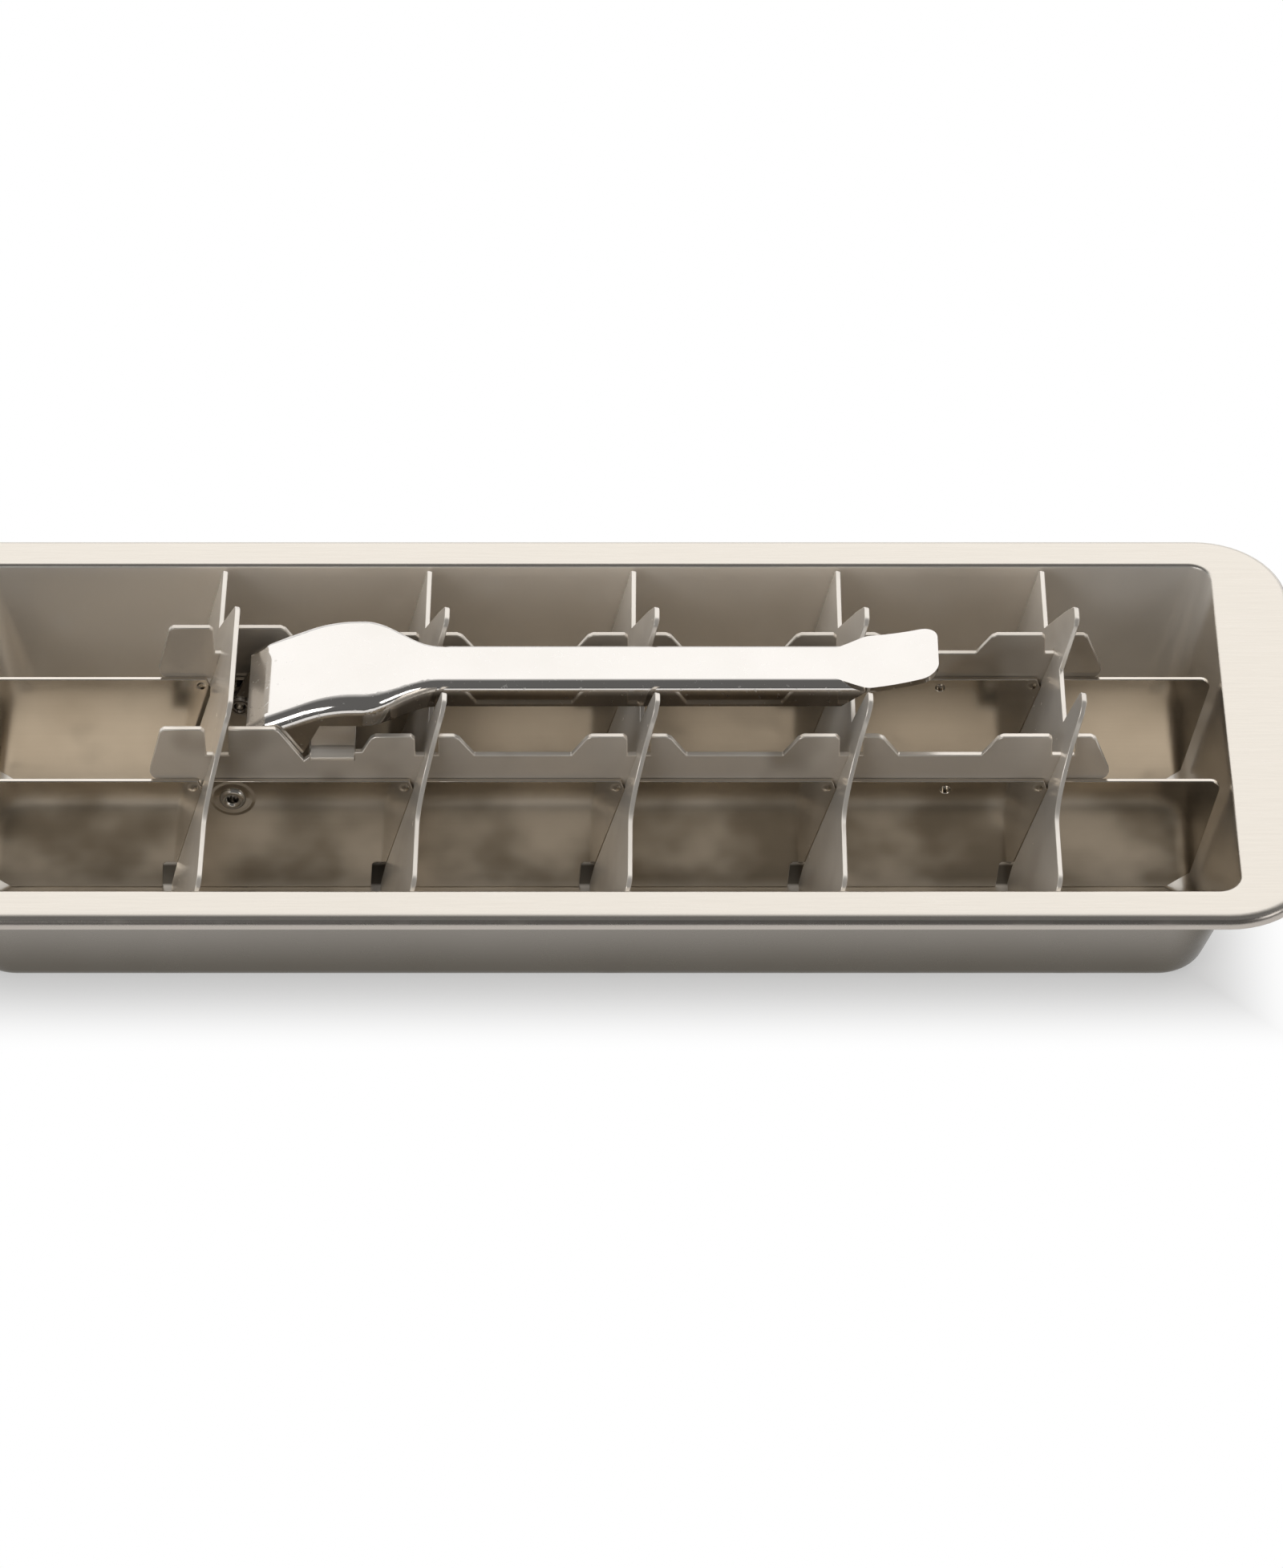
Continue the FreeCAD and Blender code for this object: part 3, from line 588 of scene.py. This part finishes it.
stations, first_outside = pan_stations()
print("the sheet has", len(stations), "stations,", first_outside, "of them above the edge")

# %% [markdown]
# ## The pan as one mesh
# Each station is now drawn as its rounded rectangle, always with the same count of points,
# so the rings join into quads without any stitching. The first and the last ring are
# closed by one flat face each: the floor inside and the floor underneath.

# %% Carry the stations round the rectangle
PER_CORNER = 14
PER_END = 16
PER_SIDE = 60
QUARTERS = ((1, 1), (-1, 1), (-1, -1), (1, -1))


def around(stations):
    """Points of each station's rounded rectangle, in millimetres.

    In a corner the point is its centre (a - c, b - c) plus c (cos t, sin t); along a side
    it goes evenly from the end of one corner to the start of the next.
    """
    a, b, c, z = [column[:, None] for column in stations.T]
    turn = np.radians(np.linspace(0, 90, PER_CORNER + 1))[None]
    corners = []
    for quarter, (sign_x, sign_y) in enumerate(QUARTERS):
        angle = turn + math.pi / 2 * quarter
        corners.append(np.stack([sign_x * (a - c) + c * np.cos(angle),
                                 sign_y * (b - c) + c * np.sin(angle),
                                 z + 0 * angle], 2))
    parts = []
    for quarter, corner in enumerate(corners):
        count = PER_END if quarter % 2 else PER_SIDE
        share = np.linspace(0, 1, count + 1)[None, 1:-1, None]
        start = corner[:, -1:]
        end = corners[(quarter + 1) % len(corners)][:, :1]
        parts += [corner, start * (1 - share) + end * share]
    return np.concatenate(parts, 1)


def ring_quads(row, below, columns):
    """Quads between rings of points that start at the numbers row and below."""
    here = np.arange(columns)[None]
    after = (here + 1) % columns
    quads = np.stack([row + here, below + here, below + after, row + after], 2)
    return quads.reshape(-1, 4).tolist()


def smooth_mesh(name, points, faces):
    """A smooth mesh of points given in millimetres."""
    mesh = bpy.data.meshes.new(name)
    mesh.from_pydata(points.reshape(-1, 3) * MM, [], faces)
    mesh.shade_smooth()
    return mesh


def make_pan(stations, first_outside):
    """The rings as quads, a face on each end, and the attribute that the material reads."""
    grid = around(stations)
    rows, columns = grid.shape[:2]
    row = np.arange(rows - 1)[:, None] * columns
    floor = list(range(columns))
    bottom = list(range((rows - 1) * columns, rows * columns))[::-1]
    mesh = smooth_mesh("drawn_pan", grid, ring_quads(row, row + columns, columns) + [floor, bottom])
    outside = np.repeat(np.arange(rows) >= first_outside, columns).astype(np.float32)
    mesh.attributes.new("outside", "FLOAT", "POINT").data.foreach_set("value", outside)
    return mesh


placed(make_pan(stations, first_outside), "tray", pan_steel, "pan")

# %% [markdown]
# ## The eyelets
# An eyelet is a hollow rivet: a short tube whose ends were rolled outwards, so each end is
# a little round ring that catches a bright circle of light. A Screw modifier could turn a
# drawn section. Worked out as a grid, the section keeps its sizes as named values. It goes
# over the outer ring, along the barrel, over the inner ring and back through the bore;
# turned about the lever's axis it gives the whole piece.

# %% Turned eyelets
EYELET_BORE = 1.0
EYELET_BARREL = 1.55
FLANGE_RADIUS, FLANGE_HEIGHT = 2.65, 0.8
ROLLED_RADIUS, ROLLED_HEIGHT = 2.3, 0.7
INNER_FACE = 12.0
NEAR_FACE = 15.65
FAR_FACE = 17.15
RING_STEPS = 11
TURN_STEPS = 48


def rolled_end(radius, face, height, start, end):
    """Half a ring between the bore and a radius, for t in degrees.

    From the axis it is the middle radius less half the ring's width times cos t; out
    along Y it is the face plus the height times sin t.
    """
    turn = np.radians(np.linspace(start, end, RING_STEPS))
    middle = (radius + EYELET_BORE) / 2
    half = (radius - EYELET_BORE) / 2
    return np.stack([middle - half * np.cos(turn), face + height * np.sin(turn)], 1)


def turned(name, section, side):
    """Turn a closed section of (radius, distance out along Y) about the lever's axis.

    The point is the axis plus radius (cos t, sin t) in X and Z. t runs against the side,
    so that the faces look outwards on both.
    """
    angle = np.linspace(0, 2 * math.pi, TURN_STEPS, endpoint=False)[None] * -side
    radius = section[:, :1]
    out = section[:, 1:]
    points = np.stack([PIVOT[0] + radius * np.cos(angle), side * out + 0 * angle,
                       PIVOT[1] + radius * np.sin(angle)], 2)
    row = np.arange(len(section))[:, None] * TURN_STEPS
    return smooth_mesh(name, points, ring_quads(row, np.roll(row, -1, 0), TURN_STEPS))


for name, side, face in (("near_eyelet", -1, NEAR_FACE), ("far_eyelet", 1, FAR_FACE)):
    section = np.concatenate([rolled_end(FLANGE_RADIUS, face, FLANGE_HEIGHT, 0, 180),
                              [[EYELET_BARREL, face], [EYELET_BARREL, INNER_FACE]],
                              rolled_end(ROLLED_RADIUS, INNER_FACE, -ROLLED_HEIGHT, 180, 0)])
    placed(turned("turned_" + name, section, side), "grid", eyelet_steel, name)

# %% [markdown]
# ## The lever
# The lever is one pressed sheet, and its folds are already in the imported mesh, with
# normals of their own. A bevel would need its points merged and its normals worked out
# anew, so it keeps that mesh and takes its polish.

# %% Polish the lever
lever_mesh = nodes["lever"].data
lever_mesh.materials.clear()
lever_mesh.materials.append(lever_steel)
print("lever:", len(lever_mesh.polygons), "faces")

# %% [markdown]
# ## Table
# The tray stands on a plain white table. White paint under soft lamps comes out grey, and
# stronger lamps would burn out the steel. So the table's own shading is mixed with plain
# white that shows to the camera, in mirrors and through glass, and lights nothing else.
# The share of white rises with the distance from the pan's foot, which leaves a soft
# shadow close around it.

# %% White table
FOOT_HALF_LENGTH = 118.0
FOOT_HALF_WIDTH = 38.0
SHADOW_REACH = 24.0
SHADE_WHITE = 0.45
TABLE_REACH = 4.0
PAINT_LOW = (0.90, 0.90, 0.895, 1)
PAINT_HIGH = (0.93, 0.93, 0.925, 1)
SEEN_BY = ("Is Camera Ray", "Is Glossy Ray", "Is Transmission Ray")


def whiten(material, share):
    """Mix a surface with plain white for the rays in SEEN_BY; share is a wire."""
    tree = material.node_tree
    out = tree.nodes["Material Output"]
    shaded = Wire(tree, out.inputs[0].links[0].from_socket)
    path = tree.nodes.new("ShaderNodeLightPath")
    camera_ray, mirror_ray, clear_ray = [Wire(tree, path.outputs[name]) for name in SEEN_BY]
    seen = camera_ray.highest(mirror_ray).highest(clear_ray)
    white = share.node("ShaderNodeEmission", {}, {"Strength": 1.0})
    both = share.node("ShaderNodeMixShader", {}, {0: seen * share, 1: shaded, 2: white})
    tree.links.new(both.socket, out.inputs[0])


def make_table():
    """A square of painted board, whiter the further it is from the pan's foot."""
    material, place = start_material("white table")
    x, y, _ = place.split()
    cloud = place.noise(scale=0.004, detail=2.0, roughness=0.5)
    colour = cloud.mix(PAINT_LOW, PAINT_HIGH)
    end_material(material, colour, cloud * 0.05 + 0.55, cloud, depth=0.001, metallic=0.0)
    away = (abs(x) - FOOT_HALF_LENGTH).highest(abs(y) - FOOT_HALF_WIDTH)
    whiten(material, SHADE_WHITE + away.step(0.0, SHADOW_REACH) * (1.0 - SHADE_WHITE))
    corners = [(sign_x * TABLE_REACH, sign_y * TABLE_REACH, 0)
               for sign_x, sign_y in ((-1, -1), (1, -1), (1, 1), (-1, 1))]
    mesh = bpy.data.meshes.new("table")
    mesh.from_pydata(corners, [], [(0, 1, 2, 3)])
    mesh.materials.append(material)
    table = bpy.data.objects.new("table", mesh)
    bpy.context.scene.collection.objects.link(table)


make_table()

# %% [markdown]
# ## Lamps
# Steel shows its surroundings more than itself, so what matters in a lamp is the shape
# that the steel mirrors. A broad soft lamp behind the table turns every upward face almost
# white. Two small soft boxes left and right of the viewer draw the bright streaks on the
# lever's folds.

# %% Soft lamps
def soft_lamp(name, place, width, depth, radiance):
    """A rectangular lamp aimed at the tray, of that radiance whatever its size.

    Its power is pi times its area times the radiance.
    """
    data = bpy.data.lights.new(name, "AREA")
    data.shape = "RECTANGLE"
    data.size = width
    data.size_y = depth
    data.energy = math.pi * width * depth * radiance
    lamp = bpy.data.objects.new(name, data)
    bpy.context.scene.collection.objects.link(lamp)
    x, y, z = place
    lamp.location = place
    lamp.rotation_euler = (math.atan2(math.hypot(x, y), z), 0, math.atan2(-y, -x) - math.pi / 2)
    lamp.visible_camera = False
    print("lamp:", name, "energy %.1f W" % data.energy)


soft_lamp("window", place=(0.0, 1.25, 0.95), width=3.2, depth=1.3, radiance=0.50)
soft_lamp("left box", place=(-0.82, -0.95, 0.72), width=0.85, depth=0.36, radiance=3.2)
soft_lamp("right box", place=(1.15, -0.75, 0.62), width=0.55, depth=0.40, radiance=2.2)

# %% [markdown]
# ## Room
# The rest of the room is a World shader, bright on the far side, dim overhead and on the
# near side, and darkest low down behind the viewer. So a rounded edge runs from white
# through grey to dark. An image of a room could do the same, but a few steps say what
# the steel needs, and no more.

# %% Dim room
CEILING = 0.15
FAR_SKY = 0.88
NEAR_HORIZON = 0.09


def grey(level):
    """An opaque grey."""
    return (level, level, level, 1.0)


world = bpy.data.worlds.new("dim room")
bpy.context.scene.world = world
world.use_nodes = True
room = world.node_tree
coordinates = room.nodes.new("ShaderNodeTexCoord")
_, across, up = Wire(room, coordinates.outputs["Generated"]).split()
sky = across.step(0.0, 0.6).mix(grey(CEILING), grey(FAR_SKY))
behind_viewer = up.step(0.20, 0.02) * across.step(0.1, -0.3)
level = behind_viewer.mix(sky, grey(NEAR_HORIZON))
background = room.nodes["Background"]
room.links.new(level.socket, background.inputs["Color"])
background.inputs["Strength"].default_value = 1.0
print("room:", len(room.nodes), "nodes")

# %% [markdown]
# ## Camera
# A long lens from more than a metre away keeps the tray's long edges nearly parallel, as
# a maker's catalogue would show them. It looks down at 42.5 degrees, far enough to see the
# floors of the front cells and still the side of the pan.

# %% Camera
SENSOR = 36.0
FOCAL_PIXELS = 7600.0
PICTURE_PIXELS = 1955.0
SHIFT_PIXELS = -30.0
LOOK_DOWN = 42.5
CAMERA_PLACE = (0.01555, -0.9058, 0.84445)

camera_data = bpy.data.cameras.new("camera")
camera_data.lens = SENSOR * FOCAL_PIXELS / PICTURE_PIXELS
camera_data.shift_x = SHIFT_PIXELS / PICTURE_PIXELS
camera_data.clip_start = 0.01
camera = bpy.data.objects.new("camera", camera_data)
bpy.context.scene.collection.objects.link(camera)
camera.location = CAMERA_PLACE
camera.rotation_euler = (math.radians(90.0 - LOOK_DOWN), 0, 0)
bpy.context.scene.camera = camera
bpy.context.scene.view_settings.view_transform = "Standard"
print("camera: %.0f mm lens" % camera_data.lens)
